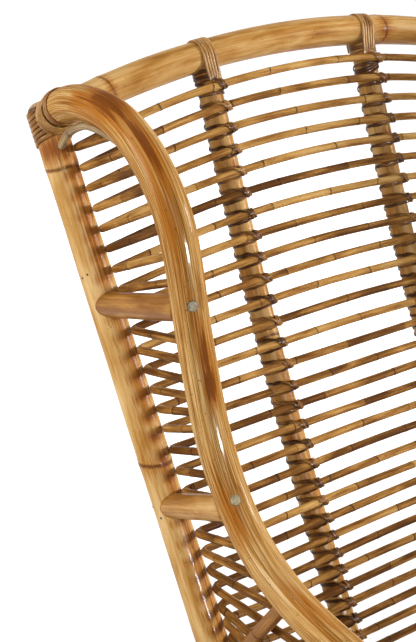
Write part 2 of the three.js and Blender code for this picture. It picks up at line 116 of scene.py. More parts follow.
def wing_place(drop, reach=0, inset=0):
    """The corner plus drop down the post, reach towards the front and inset towards the middle."""
    drop, reach, inset = (np.asarray(v, float)[..., None] for v in (drop, reach, inset))
    return CORNER + drop * DOWN + reach * FORWARD + inset * INWARD


def drop_to(height):
    """How far down the post's line a height lies."""
    return (CORNER[2] - height) / -DOWN[2]


# ------------ curves
def spline(points, per_span):
    """A curve through all points: on each span a cubic between its two ends, whose end
    directions come from the neighbours, weighted by the square roots of the span lengths."""
    p = np.asarray(points, float)
    before, after = 2 * p[..., :1, :] - p[..., 1:2, :], 2 * p[..., -1:, :] - p[..., -2:-1, :]
    p = joined(before, p, after, axis=-2)
    a, b, c, d = p[..., :-3, :], p[..., 1:-2, :], p[..., 2:-1, :], p[..., 3:, :]
    u, v, w = (np.linalg.norm(q - r, axis=-1, keepdims=True) ** 0.5 + 1e-9
        for q, r in ((b, a), (c, b), (d, c)))
    from_b = ((b - a) / u - (c - a) / (u + v) + (c - b) / v) * v
    to_c = ((c - b) / v - (d - b) / (v + w) + (d - c) / w) * v
    t = (np.arange(per_span) / per_span)[:, None]
    b, c, from_b, to_c = (q[..., None, :] for q in (b, c, from_b, to_c))
    spans = ((2 * t**3 - 3 * t**2 + 1) * b + (t**3 - 2 * t**2 + t) * from_b
        + (3 * t**2 - 2 * t**3) * c + (t**3 - t**2) * to_c)
    spans = spans.reshape(*spans.shape[:-3], -1, 3)
    return joined(spans, p[..., -2:-1, :], axis=-2)


def lengths(path):
    """Distance travelled along the path at each of its points."""
    steps = np.linalg.norm(np.diff(path, axis=0), axis=1)
    return joined([0], np.cumsum(steps))


def at_length(path, where):
    """Points of the path at the given distances along it, straight between its points."""
    run = lengths(path)
    return columns(*[np.interp(where, run, path[:, k]) for k in range(3)])


def trimmed(path, first, last, margin):
    """The path less a length at each end, and less its points within a margin of the cuts."""
    run = lengths(path)
    end = run[-1] - last
    kept = run[(run > first + margin) & (run < end - margin)]
    return at_length(path, joined([first], kept, [end]))


def axis_at(path, height):
    """Where the path, followed from its lower end, is at a height, and its direction there."""
    up = path[::-1]
    i = int(np.argmax((up[:-1, 2] <= height) & (up[1:, 2] > height)))
    share = (height - up[i, 2]) / (up[i + 1, 2] - up[i, 2])
    return blend(up[i], up[i + 1], share), unit(up[i + 1] - up[i])


def arm_crossing(drop, rise):
    """First place where the arm pole's axis crosses the line drawn across the wing from a
    drop on the post, rising by a share of its reach. Returns the place and the direction."""
    offset = ARM_AXIS - CORNER
    above = drop - rise * (offset @ FORWARD) - offset @ DOWN
    i = int(np.argmax((above[:-1] >= 0) & (above[1:] < 0)))
    share = above[i] / (above[i] - above[i + 1])
    return blend(ARM_AXIS[i], ARM_AXIS[i + 1], share), unit(ARM_AXIS[i + 1] - ARM_AXIS[i])


# ------------ skins
# Where closer rings lie: about a node, in node widths, and in a rounded end, in shares of its size
NODE_RINGS = np.array([-5, -2.4, -1.2, -0.5, 0, 0.5, 1.2, 2.4, 5])
END_RINGS = np.array([0.03, 0.12, 0.3, 0.6, 1.0])
LEAST = 0.02 * MM
NODE_MARGIN = 4 * MM
FADE = 45 * MM
PHASE = 6.3  # random waves and nodes start at a turn from 0 to this many radians
# Section of a strip of peel: shares of half its width and of half its thickness
PEEL_SECTION = np.array([[-1, -0.2], [-0.82, 0.7], [-0.3, 1], [0.3, 1], [0.82, 0.7], [1, -0.2],
    [0.8, -0.9], [-0.8, -0.9]])


def ring_frames(path, reference):
    """The path's direction at each point, and two unit directions square to it: across,
    square to the reference direction too, and out, square to both."""
    along = unit(np.gradient(path, axis=0))
    across = unit(np.cross(along, np.asarray(reference)))
    return along, across, np.cross(across, along)


def ring_places(total, step, nodes, node_width, start, end):
    """Distances along a pole at which it has a ring: one a step, closer at nodes and round ends."""
    places = [np.linspace(0, total, max(3, int(total / step) + 1))]
    places += [n + node_width * NODE_RINGS for n in nodes]
    if start[0] == "round":
        places.append(start[1] * END_RINGS)
    if end[0] == "round":
        places.append(total - end[1] * END_RINGS)
    places = np.unique(np.clip(joined(*places), 0, total))
    places = places[joined([True], np.diff(places) > LEAST)]
    places[-1] = total
    return places


def tube(path, radius, reference, sides=24, step=6 * MM, nodes=(), seed=0, start=("round", 1.5 * MM),
        end=("round", 1.5 * MM), swell=0.045, waver=0.012, node_width=2.2 * MM, slant=0.25, stains=(),
        tone=0.0, tone_spread=1.0):
    """A round pole along a path. At distance s along it and turn t around it a point lies at
    the path plus radius times (across cos t + out sin t). The radius swells by a bell at each
    node, wavers slowly by a sum of sines, and shrinks as a quarter circle at a rounded end.
    An end can instead be coped: its rings are slid along the pole until the last one lies on
    a neighbouring pole's surface, or on the floor, by a share that fades along the pole.
    Marks per point: nearness to a node's ring, tone of the length between nodes, cut end.
    Stains, and patches of painted shade, are each a bell along the pole times a bell around it: place, turn,
    length, width, strength."""
    rng = np.random.default_rng(seed)
    total = lengths(path)[-1]
    nodes = np.asarray(sorted(n for n in nodes if NODE_MARGIN < n < total - NODE_MARGIN))
    s = ring_places(total, step, nodes, node_width, start, end)
    axis = at_length(path, s)
    along, across, out = ring_frames(axis, reference)
    turn = 2 * np.pi * np.arange(sides) / sides

    size = radius * np.ones_like(s)
    for k in range(3):
        size *= 1 + waver / (k + 1) * np.sin(s * rng.uniform(14, 22) * (k + 1) + rng.uniform(0, PHASE))
    near, stain_and_shade_amount, cut = np.zeros((3, len(s), sides))
    for n in nodes:
        size *= (1 + swell * bell(s - n, 3.2 * node_width)
            - 0.4 * swell * bell(s - n - 1.5 * node_width, node_width))
        lean = slant * radius * np.cos(turn + rng.uniform(0, PHASE))
        near = np.maximum(near, bell(s[:, None] - n - lean, node_width) * rng.uniform(0.8, 1.15))
    tones = tone + tone_spread * rng.uniform(-1, 1, len(nodes) + 1)
    tone = tones[np.searchsorted(nodes, s)]
    # Listed stains, and patches of painted shade, each as a bell along times a bell around the pole
    for place, angle, long, wide, strength in stains:
        off = (turn - np.radians(angle) + np.pi) % (2 * np.pi) - np.pi
        stain_and_shade_amount = np.maximum(stain_and_shade_amount, strength * bell(s[:, None] - place, long) * bell(off, np.radians(wide)))

    grain_s = s + rng.uniform(0, 40)
    grain = columns(grain_s[:, None], size[:, None] * np.cos(turn), size[:, None] * np.sin(turn))
    ends = (start, 0, s), (end, -1, total - s)
    for kind, _, distance in ends:
        if kind[0] == "round":
            inside = np.clip(kind[1] - distance, 0, kind[1])
            size = size - kind[1] + np.sqrt(kind[1] ** 2 - inside**2)
            cut[distance <= 0.3 * kind[1]] = 1
    size = np.maximum(size, LEAST)
    rays = across[:, None] * np.cos(turn)[:, None] + out[:, None] * np.sin(turn)[:, None]
    points = axis[:, None] + size[:, None, None] * rays
    for kind, edge, distance in ends:
        if kind[0] != "round":
            ring, way = points[edge], along[edge]
            slide = -ring[:, 2] / way[2] if kind[0] == "floor" else cope(ring, way, *kind[1:])
            points += slide[None, :, None] * along[:, None] * fade(distance, total)

    here = np.arange(sides)
    after = (here + 1) % sides
    ring = np.arange(len(s) - 1)[:, None] * sides
    quads = columns(ring + here, ring + sides + here, ring + sides + after, ring + after)
    last, first = (len(s) - 1) * sides, len(s) * sides
    caps = joined(columns(first, here, after), columns(first + 1, last + after, last + here))
    marks = columns(near, tone[:, None], cut)
    return {
        "points": joined(points.reshape(-1, 3), points[[0, -1]].mean(1)),
        "quads": quads.reshape(-1, 4), "tris": caps,
        "grain": joined(grain.reshape(-1, 3), grain[[0, -1]].mean(1)),
        "marks": joined(marks.reshape(-1, 3), [[0, 0, 1]] * 2),
        "stain_and_shade_amount": joined(stain_and_shade_amount.ravel(), [0, 0]),
    }


def fade(distance, total):
    """Share of an end's slide at a distance from it: 1 at the end, 0 from 45 mm or half way."""
    share = np.clip(1 - distance / min(FADE, total * 0.5), 0, 1)
    return (share**2 * (3 - 2 * share))[:, None, None]


def cope(ring, along, centre, direction, radius):
    """How far each ring point slides along the pole until it lies on the round surface with
    that centre line: the nearer root of the circle's equation in the plane square to it."""
    d = ring - centre
    d = d - (d @ direction)[:, None] * direction
    e = along - (along @ direction) * direction
    a, b, c = e @ e, d @ e, np.sum(d * d, -1) - radius**2
    root = np.sqrt(np.maximum(b * b - a * c, 0))
    slides = np.stack([(-b - root) / a, (-b + root) / a])
    return slides[0] if abs(slides[0].mean()) < abs(slides[1].mean()) else slides[1]


def coped(centre, direction, radius):
    """The end of a pole that is cut to fit another pole, with a gap between them."""
    return "cope", centre, direction, radius + GAP


def strands(axis, facing, width, thickness, seed, tone):
    """Flat strips of peel, one for each row of axis points. The section is a low crowned
    band: width along the side direction, square to path and facing, thickness along the
    facing. Section shares run round the band; the tips are closed by end faces."""
    rng = np.random.default_rng(seed)
    (rows, count), n = axis.shape[:2], len(PEEL_SECTION)
    along = unit(np.gradient(axis, axis=1))
    side = unit(np.cross(along, facing))
    out = np.cross(side, along)
    width = np.asarray(width, float)[..., None, None]
    points = (axis[:, :, None] + side[:, :, None] * PEEL_SECTION[:, :1] * width / 2
        + out[:, :, None] * PEEL_SECTION[:, 1:] * thickness / 2)
    base = (np.arange(rows)[:, None, None] * count + np.arange(count - 1)[None, :, None]) * n
    here, after = np.arange(n), (np.arange(n) + 1) % n
    quads = columns(base + here, base + after, base + n + after, base + n + here).reshape(-1, 4)
    start = (np.arange(rows)[:, None] * count * n)[..., None]
    fan = columns(0, here[2:], here[1:-1])
    tris = joined((start + fan).reshape(-1, 3), (start + (count - 1) * n + fan[:, ::-1]).reshape(-1, 3))
    run = np.cumsum(np.linalg.norm(np.diff(axis, axis=1, prepend=axis[:, :1]), axis=-1), axis=1)
    offset = rng.uniform(0, 30, (rows, 1))
    grain = columns((run + offset)[..., None], PEEL_SECTION[:, 0] * width[..., 0] / 2,
        PEEL_SECTION[:, 1] * thickness / 2)
    tones = tone + rng.uniform(-0.6, 0.6, (rows, 1, 1)) + 0.4 * np.sin(run * 160 + offset)[..., None]
    marks = columns(0, tones + np.zeros(n), 0)
    return {"points": points.reshape(-1, 3), "quads": quads, "tris": tris, "grain": grain.reshape(-1, 3),
        "marks": marks.reshape(-1, 3), "stain_and_shade_amount": np.zeros(grain.size // 3)}


def mirrored(part):
    """The same skin with x negated and each face's corners in reverse order. Its grain starts
    at another place, so that left and right differ."""
    return {**part, "points": part["points"] * MIRROR, "quads": part["quads"][:, ::-1],
        "tris": part["tris"][:, ::-1], "grain": part["grain"] + vec(7.3, 0, 0)}


def set_up(name, data):
    """A new object in the scene."""
    thing = bpy.data.objects.new(name, data)
    bpy.context.scene.collection.objects.link(thing)
    return thing


def make_piece(name, parts, finish, replaced=()):
    """One mesh object from several skins, with the attributes that its material reads: grain,
    the place along, across and out of the fibre, marks, and stains with painted shade. Its UV map
    unrolls the surface: distance along the fibre, and turn around it."""
    material, slot = finish
    shifts = np.cumsum([0] + [len(part["points"]) for part in parts])
    points, grain, marks, stain_and_shade_amount = (joined(*[part[key] for part in parts])
        for key in ("points", "grain", "marks", "stain_and_shade_amount"))
    quads, tris = (joined(*[part[key] + shift for part, shift in zip(parts, shifts)])
        for key in ("quads", "tris"))
    corners = joined(quads.ravel(), tris.ravel()).astype(np.int32)
    starts = joined(np.arange(len(quads)) * 4, quads.size + np.arange(len(tris)) * 3)
    mesh = bpy.data.meshes.new(name)
    mesh.vertices.add(len(points))
    mesh.vertices.foreach_set("co", points.astype(np.float32).ravel())
    mesh.loops.add(len(corners))
    mesh.loops.foreach_set("vertex_index", corners)
    mesh.polygons.add(len(starts))
    mesh.polygons.foreach_set("loop_start", starts.astype(np.int32))
    mesh.polygons.foreach_set("use_smooth", np.ones(len(starts), bool))
    mesh.update(calc_edges=True)
    for label, kind, field, data in (("grain", "FLOAT_VECTOR", "vector", grain),
            ("marks", "FLOAT_VECTOR", "vector", marks), ("stain_and_shade_amount", "FLOAT", "value", stain_and_shade_amount)):
        attribute = mesh.attributes.new(label, kind, "POINT")
        attribute.data.foreach_set(field, data.astype(np.float32).ravel())
    around = np.arctan2(grain[:, 2], grain[:, 1]) / (2 * np.pi) + 0.5
    unrolled = columns(grain[:, 0], around)[corners]
    mesh.uv_layers.new(name="unrolled").data.foreach_set("uv", unrolled.astype(np.float32).ravel())
    mesh.materials.append(material)
    piece = set_up(name, mesh)
    if replaced:
        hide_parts(*replaced)
    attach(piece, "root")


def dress(node, parts, finish):
    """The skin of one solid."""
    make_piece(f"{node}_skin", parts, finish, [node])


def dress_pair(node, parts, finish):
    """The skin of the left solid of a pair, and its mirror image on the right one."""
    dress(f"{node}_left", parts, finish)
    dress(f"{node}_right", [mirrored(part) for part in parts], finish)


# ------------ finishes
class Nodes:
    """The node tree of a material or of the world, and short ways to add to it."""

    def __init__(self, owner, end):
        owner.use_nodes = True
        self.owner, self.tree = owner, owner.node_tree
        self.end = self.tree.nodes[end]

    def fill(self, node, inputs):
        """Each input, by its name or number, is joined to a socket or holds a value."""
        for key, value in inputs.items():
            if hasattr(value, "links"):
                self.tree.links.new(value, node.inputs[key])
            else:
                node.inputs[key].default_value = value

    def add(self, kind, inputs, **settings):
        node = self.tree.nodes.new(f"ShaderNode{kind}")
        for key, value in settings.items():
            setattr(node, key, value)
        self.fill(node, inputs)
        return node

    def attribute(self, name, output="Vector"):
        return self.add("Attribute", {}, attribute_name=name).outputs[output]

    def noise(self, vector, waves, detail, roughness, distortion=0.0):
        """Noise with waves[0] a metre along the fibre and waves[1] a metre across it."""
        place = self.add("Mapping", {"Scale": (waves[0], waves[1], waves[1]), "Vector": vector}).outputs[0]
        return self.add("TexNoise", {"Scale": 1.0, "Detail": detail, "Roughness": roughness,
            "Distortion": distortion, "Vector": place}).outputs["Fac"]

    def calc(self, kind, *values):
        return self.add("Math", dict(enumerate(values)), operation=kind).outputs["Value"]

    def window(self, value, low, high, out_low=0.0, out_high=1.0):
        """The value's place between low and high, held within the two output levels."""
        inputs = {"From Min": low, "From Max": high, "To Min": out_low, "To Max": out_high, "Value": value}
        return self.add("MapRange", inputs, interpolation_type="SMOOTHSTEP").outputs["Result"]

    def ramp(self, value, stops):
        node = self.add("ValToRGB", {"Fac": value})
        keys = node.color_ramp.elements
        while len(keys) < len(stops):
            keys.new(0.5)
        for key, (place, colour) in zip(keys, stops):
            key.position, key.color = place, (*colour, 1)
        return node.outputs["Color"]

    def mix(self, share, a, b):
        """Colour a, with the share of colour b over it. The node's colours are inputs 6 and 7."""
        a, b = (value if hasattr(value, "links") else (*value, 1) for value in (a, b))
        return self.add("Mix", {0: share, 6: a, 7: b}, data_type="RGBA").outputs[2]

    def seen(self):
        """1 where the camera looks, straight, in a reflection or through glass, and else 0."""
        rays = self.add("LightPath", {}).outputs
        mirrored_too = self.calc("MAXIMUM", rays["Is Camera Ray"], rays["Is Glossy Ray"])
        return self.calc("MAXIMUM", mirrored_too, rays["Is Transmission Ray"])


FINE_SHARE, TONE_STEP, RAGGED = 0.22, 0.3, 3.0
CUT_PALE, CUT_PORE = (0.5, 0.33, 0.15), (0.16, 0.08, 0.03)


def rattan(name, slot, tones, dark, stain_and_shade_colour, relief, rough, coat=0.0, specular=0.2, tone_share=0.25,
        stain_level=(0.6, 0.75), speck_level=(0.7, 0.76), spread=(0.26, 0.74), fibre_share=0.45,
        fibres=(14, 420), patch=(16, 60), halo_and_shade_colour=(0.40, 0.155, 0.028), lines=0.0):
    """Rattan whose fibre runs along the grain attribute: long fibre noise, soft patches and the
    tone of each length, which also carries painted shade, make one value that picks a colour from light to
    dark; stains and painted shade, dark node rings, specks and pale cut ends lie over it. Fibre drives bump
    and roughness.
    Each noise is given by its waves a metre along and across the fibre, detail and roughness.
    Rings and specks are in the dark colour. Returns the material and its slot."""
    f = Nodes(bpy.data.materials.new(name), "Principled BSDF")
    grain = f.attribute("grain")
    near, tone, cut = f.add("SeparateXYZ", {0: f.attribute("marks")}).outputs
    fibre = f.noise(grain, fibres, 4, 0.62)
    fine = f.noise(grain, (55, 1900), 3, 0.6)
    patches = f.noise(grain, patch, 3, 0.5, 0.4)
    value = f.calc("MULTIPLY_ADD", fibre, fibre_share, f.calc("MULTIPLY", patches, 1 - fibre_share))
    value = f.calc("MULTIPLY_ADD", fine, FINE_SHARE, f.calc("ADD", value, -FINE_SHARE / 2))
    value = f.calc("MULTIPLY_ADD", tone, tone_share * TONE_STEP, value)
    colour = f.ramp(f.window(value, *spread), tones)
    if lines:
        streaks = f.noise(grain, (9, 1150), 2, 0.5)
        colour = f.mix(f.window(streaks, 0.5, 0.68, 0, lines), colour, tones[-1][1])

    stains = f.noise(grain, (7, 75), 4, 0.6, 0.6)
    colour = f.mix(f.calc("MULTIPLY", f.window(stains, *stain_level), 0.7), colour, stain_and_shade_colour)
    # Listed stains, and the painted shade and painted contact shadows of the rear post, laid on with a ragged
    # edge
    stain_and_shade_amount = f.attribute("stain_and_shade_amount", "Fac")
    ragged = f.calc("MULTIPLY_ADD", f.noise(grain, (9, 420), 4, 0.65), RAGGED, -RAGGED / 2)
    placed = f.calc("ADD", stain_and_shade_amount, ragged)
    held = f.window(stain_and_shade_amount, 0.03, 0.2)
    for low, high, most, tint in ((0.1, 0.6, 0.8, halo_and_shade_colour), (0.6, 1.05, 0.85, stain_and_shade_colour)):
        colour = f.mix(f.calc("MULTIPLY", f.window(placed, low, high, 0, most), held), colour, tint)

    broken = f.window(f.noise(grain, (350, 200), 3, 0.6), 0.3, 0.6, 0.6, 1.0)
    ring = f.calc("MULTIPLY", near, broken)
    colour = f.mix(f.window(ring, 0.22, 0.85, 0, 0.9), colour, dark)
    specks = f.noise(grain, (330, 520), 1, 0.4)
    colour = f.mix(f.window(specks, *speck_level, 0, 0.7), colour, dark)
    pores = f.noise(grain, (1500, 1500), 1, 0.5)
    end_colour = f.mix(f.window(pores, 0.5, 0.6), CUT_PALE, CUT_PORE)
    colour = f.mix(f.window(cut, 0.45, 0.6), colour, end_colour)

    roughness = f.window(fine, 0.3, 0.75, rough - 0.07, rough + 0.14)
    normal = {}
    for height, strength, depth in ((fibre, 0.5, relief), (fine, 0.45, relief * 0.35), (ring, 0.6, 0.6 * MM)):
        bump = f.add("Bump", {"Strength": strength, "Distance": depth, "Height": height, **normal})
        normal = {"Normal": bump.outputs["Normal"]}
    f.fill(f.end, {"Base Color": colour, "Roughness": roughness, "Specular IOR Level": specular,
        "Coat Weight": coat, "Coat Roughness": 0.12, "Coat IOR": 1.45, **normal})
    return f.owner, slot


SKIN = rattan(
    "Skin_on_rattan", "skin_on_rattan",
    [(0, (0.70, 0.475, 0.23)), (0.42, (0.56, 0.332, 0.114)), (0.75, (0.41, 0.19, 0.04)),
    (1, (0.23, 0.085, 0.013))],
    dark=(0.125, 0.036, 0.007), stain_and_shade_colour=(0.22, 0.058, 0.008), relief=0.0002, rough=0.32,
    coat=0.05, specular=0.05, fibre_share=0.42, fibres=(8, 260), tone_share=0.7, spread=(0.21, 0.79),
    stain_level=(0.64, 0.8), speck_level=(0.73, 0.79))
PEELED = rattan(
    "Peeled_lacquered_rattan", "peeled_rattan",
    [(0, (0.68, 0.46, 0.20)), (0.33, (0.50, 0.265, 0.075)), (0.66, (0.29, 0.108, 0.015)),
    (1, (0.12, 0.036, 0.004))],
    dark=(0.10, 0.04, 0.01), stain_and_shade_colour=(0.15, 0.034, 0.002), relief=0.0005, rough=0.28, coat=0.12,
    specular=0.0, fibre_share=0.66, patch=(8, 60), fibres=(11, 760), halo_and_shade_colour=(0.38, 0.12, 0.008), lines=0.75)
CANE = rattan(
    "Thin_cane", "cane",
    [(0, (0.62, 0.38, 0.13)), (0.4, (0.45, 0.235, 0.062)), (0.74, (0.27, 0.118, 0.026)),
    (1, (0.10, 0.037, 0.008))],
    dark=(0.045, 0.018, 0.006), stain_and_shade_colour=(0.25, 0.065, 0.010), relief=0.0003, rough=0.4,
    specular=0.03, tone_share=0.5, patch=(22, 90))
LINING = rattan(
    "Greyed_lining_cane", "",
    [(0, (0.43, 0.30, 0.15)), (0.5, (0.28, 0.18, 0.078)), (1, (0.11, 0.06, 0.022))],
    dark=(0.05, 0.028, 0.012), stain_and_shade_colour=(0.22, 0.13, 0.06), relief=0.0004, rough=0.4,
    specular=0.25, fibres=(20, 500), lines=0.5)
PEEL = rattan(
    "Flat_peel_binding", "peel",
    [(0, (0.46, 0.25, 0.078)), (0.4, (0.30, 0.138, 0.032)), (0.75, (0.17, 0.067, 0.013)),
    (1, (0.062, 0.022, 0.004))],
    dark=(0.05, 0.02, 0.008), stain_and_shade_colour=(0.18, 0.05, 0.010), relief=0.0003, rough=0.28, coat=0.08,
    specular=0.12, tone_share=0.6, patch=(60, 200))
PLUG = rattan(
    "Turned_wood_plug", "plug",
    [(0, (0.44, 0.36, 0.18)), (0.5, (0.29, 0.225, 0.10)), (1, (0.10, 0.07, 0.028))],
    dark=(0.03, 0.018, 0.008), stain_and_shade_colour=(0.13, 0.08, 0.03), relief=0.0004, rough=0.45, coat=0.1,
    fibres=(300, 900), patch=(200, 200))
IRON = rattan(
    "Dark_iron_nail", "", [(0, (0.07, 0.05, 0.035)), (1, (0.03, 0.02, 0.014))],
    dark=(0.02, 0.012, 0.008), stain_and_shade_colour=(0.06, 0.03, 0.015), relief=0.0002, rough=0.45,
    specular=0.4, fibres=(300, 300), patch=(200, 200))

# ------------ routes of the main poles
# The rear post bends at the seat, along a parabola, and its foot stands behind the knee
knee_start, knee = wing_place(drop_to(SEAT + 0.045)), wing_place(drop_to(SEAT - 0.040))
rear_foot = vec(knee[0], knee[1] + 0.140, 0)
knee_end = blend(knee, rear_foot, 0.085 / knee[2])
t = np.linspace(0, 1, 25)[:, None]
POST_AXIS = joined([wing_place(-HEAD_STAND)],
    (1 - t) ** 2 * knee_start + 2 * t * (1 - t) * knee + t**2 * knee_end, [rear_foot])

# The arm pole over the wing: shares of the wing's depth and of its drop
ARM_BEND = [
    (0.045, -0.006), (0.179, -0.0065), (0.34, -0.004), (0.526, 0.015), (0.755, 0.061), (0.903, 0.124),
    (0.98, 0.193), (1, 0.26), (0.969, 0.329), (0.847, 0.475), (0.74, 0.638), (0.719, 0.721),
    (0.735, 0.8), (0.796, 0.877), (0.913, 0.944), (1.077, 1),
]
reach_shares, drop_shares = np.array(ARM_BEND).T
WING_DROP = (CORNER[2] + FORWARD[2] * reach_shares[-1] * WING_DEPTH - ARMREST - 0.004) / -DOWN[2]
wing = wing_place(drop_shares * WING_DROP, reach_shares * WING_DEPTH)
arm_x = wing[-1][0]
bend_y = FRONT_LEG_Y + LEG_BEND_R
quarter = np.radians([0, 30, 60, 90])
front_bend = columns(arm_x, bend_y - LEG_BEND_R * np.sin(quarter),
    ARMREST - LEG_BEND_R * (1 - np.cos(quarter)))
armrest = [vec(arm_x, blend(wing[-1][1], bend_y, share), ARMREST) for share in (0.3, 0.65)]
front_foot = vec(arm_x, FRONT_LEG_Y - 0.014, -0.030)
ARM_AXIS = spline([*wing, *armrest, *front_bend, blend(front_bend[-1], front_foot, 0.5), front_foot], 24)


def above_floor(path):
    """The path as far as the floor, ending exactly at height 0."""
    i = int(np.argmax(path[:, 2] < 0))
    share = path[i - 1, 2] / (path[i - 1, 2] - path[i, 2])
    return joined(path[:i], [blend(path[i - 1], path[i], share)])


def rail_point(x):
    """Height falls with the square of x; depth follows the leaning back."""
    height = RAIL_HEIGHT - RAIL_END_DROP * (np.asarray(x) / CORNER_HALF) ** 2
    return columns(x, back_depth(height), height)


def rail_way(x):
    """Direction of the top rail at x, over 20 mm."""
    return unit(rail_point(x + 0.01) - rail_point(x - 0.01))


POST_COPE = coped(CORNER, DOWN, POST_R)

# Brown streaks of the arm pole: place along it, turn around it, length, width, strength
ARM_STAINS = ((0.035, -60, 0.015, 40, 0.2), (0.092, -55, 0.02, 40, 0.7), (0.125, -30, 0.035, 60, 1.2),
    (0.185, -20, 0.04, 26, 1.1), (0.25, -45, 0.05, 18, 0.55), (0.345, -20, 0.03, 18, 0.75),
    (0.375, -8, 0.03, 20, 1.2), (0.405, -4, 0.022, 20, 1.7), (0.54, -50, 0.035, 26, 0.6),
    (0.66, -20, 0.05, 30, 0.5), (0.80, 60, 0.08, 40, 0.8), (1.05, -40, 0.06, 40, 0.8),
    (1.35, 90, 0.08, 50, 0.8))
arm_path = trimmed(above_floor(ARM_AXIS), 14 * MM, 0, 0.5 * MM)
dress_pair("arm_pole", [tube(arm_path, ARM_R, X, 32, step=5 * MM, seed=23, waver=0.01,
    start=("round", 15 * MM), end=("floor",), stains=ARM_STAINS)], PEELED)

rail_reach = CORNER_HALF - 0.016
rail_path = rail_point(np.linspace(-rail_reach, rail_reach, 121))
dress("top_rail", [tube(rail_path, RAIL_R, Z, 32, nodes=(0.054, 0.428), seed=31, swell=0.03, tone_spread=0.2,
    stains=((0.056, 30, 0.006, 60, 0.75), (0.432, 20, 0.011, 70, 0.85)),
    start=POST_COPE, end=coped(CORNER * MIRROR, DOWN * MIRROR, POST_R))], SKIN)

stile_top, stile_foot = rail_point(-STILE_X), vec(-STILE_X, REAR_RAIL_Y, REAR_RAIL_HEIGHT)
heights = np.linspace(stile_top[2], STILE_LOW, 60)
stile_path = joined(columns(-STILE_X, back_depth(heights), heights), [stile_foot])
stile_path = trimmed(stile_path, 16 * MM, 14 * MM, 1 * MM)
# On the stile, the last listed entry, long and soft on its front, is painted shade over its lower part
dress_pair("back_stile", [tube(stile_path, STILE_R, X, 28, step=5 * MM, nodes=(0.30, 0.59), seed=41,
    swell=0.03, tone_spread=0.3, stains=((0.111, -3, 0.009, 34, 1.1), (0.418, -33, 0.012, 50, 1.0),
    (0.24, -60, 0.02, 40, 0.6), (0.50, 0, 0.17, 90, 0.42)),
    start=coped(stile_top, rail_way(-STILE_X), RAIL_R),
    end=coped(vec(0, REAR_RAIL_Y, REAR_RAIL_HEIGHT), X, CROSS_RAIL_R))], SKIN)

# ------------ canes of back and wings
CANES = 30
# Rise across the wing as a share of the reach, at some rows, and between them in proportion
RISES = [(1, 0.053), (6, 0.024), (8, -0.056), (10, -0.19), (12, -0.174), (15, -0.023), (20, -0.03),
    (22, -0.16), (23, -0.25), (24, -0.45), (30, -0.48)]
# Number of gaps between rows, then the share of each at mid-back and at the post
ZONES = [(14, 1.111, 1.035), (5, 0.99, 1.112), (4, 0.88, 0.967), (6, 0.829, 0.846)]
rises = np.interp(np.arange(1, CANES + 1), *np.array(RISES).T)
shares = np.repeat(np.array(ZONES)[:, 1:], [z[0] for z in ZONES], axis=0)
shares = joined([[0, 0]], np.cumsum(shares, 0) / shares.sum(0))
middle_heights = blend(RAIL_HEIGHT - 0.0254, SEAT + 0.043, shares[:, 0])
post_drops = blend(0.0367, drop_to(SEAT + 0.033), shares[:, 1])

POST_TOUCH, STILE_TOUCH, ARM_TOUCH = (r + CANE_R + GAP for r in (POST_R, STILE_R, ARM_R))
CANE_INSET = (POST_TOUCH + CANE_BEND) / np.sqrt(2) - CANE_BEND

# Stains and painted shade of the rear post: stains round its nodes, with painted shade under the arm pole's
# root at the top; painted shade down its middle; and a painted contact shadow behind each cane
POST_STAINS_AND_SHADE = [(0.050, -15, 0.015, 120, 1.1), (0.067, 40, 0.014, 40, 1.2), (0.085, 45, 0.02, 22, 0.9),
    (0.15, 0, 0.07, 20, 0.95), (0.27, 5, 0.06, 20, 1.0), (0.39, -10, 0.012, 60, 0.75),
    (0.50, 12, 0.14, 22, 0.95)]
# Painted contact shadows: a dark patch on the post where each cane touches it
POST_STAINS_AND_SHADE += [(HEAD_STAND + drop + 0.005, 6, 0.0062, 38, 1.1) for drop in post_drops]
dress_pair("rear_post", [tube(POST_AXIS, POST_R, X, 32, step=3 * MM, nodes=(0.067, 0.385, 0.66, 0.93),
    seed=11, swell=0.03, tone=-0.15, tone_spread=0.2, node_width=2.8 * MM, stains=POST_STAINS_AND_SHADE,
    start=("round", HEAD_ROUND), end=("floor",))], SKIN)


def cane_end(start, place, along):
    """A cane ends beside the arm pole: one pole and cane radius from its axis, half way
    between its inner side and the side the cane comes from."""
    back, side = start - place, INWARD - along * (along @ INWARD)
    back = back - along * (along @ back) - INWARD * (INWARD @ back)
    return place + unit(unit(side) + unit(back)) * ARM_TOUCH


def back_face(height):
    """Depth of the axis of a cane that lies on the stiles."""
    return back_depth(height) - STILE_TOUCH * np.hypot(1, back_slope(height))


def cane_path(row):
    """One cane from arm pole to arm pole. Across the back its height runs from mid-back to
    the post with the square of the share of the way; its depth is the stiles' front face,
    pulled to the post with the fifth power. At the post it turns in an elliptic quarter."""
    corner = wing_place(post_drops[row], CANE_INSET, CANE_INSET)
    share = np.arange(5) / 5
    height = blend(middle_heights[row], corner[2], share**2)
    pull = (corner[1] - back_face(corner[2])) * share**5
    across = columns(share * corner[0], back_face(height) + pull, height)
    end = cane_end(corner, *arm_crossing(post_drops[row] + rises[row] * CANE_INSET, rises[row]))
    to_back, to_arm = unit(across[-1] - corner), unit(end - corner)
    back = joined(across, [corner + CANE_BEND * to_back])
    back = spline(joined((back * MIRROR)[:0:-1], back), 10)
    turn = np.linspace(0, np.pi / 2, 9)[1:, None]
    bend = corner + CANE_BEND * ((1 - np.sin(turn)) * to_back + (1 - np.cos(turn)) * to_arm)
    half = joined(bend, blend(bend[-1], end, np.linspace(0, 1, 12)[1:, None]))
    return joined((half * MIRROR)[::-1], back, half)


def cane_nodes(rng, total):
    """Node places 58 to 104 mm apart, from a random start."""
    return rng.uniform(0, 0.06) + np.cumsum(rng.uniform(0.058, 0.104, int(total / 0.058)))


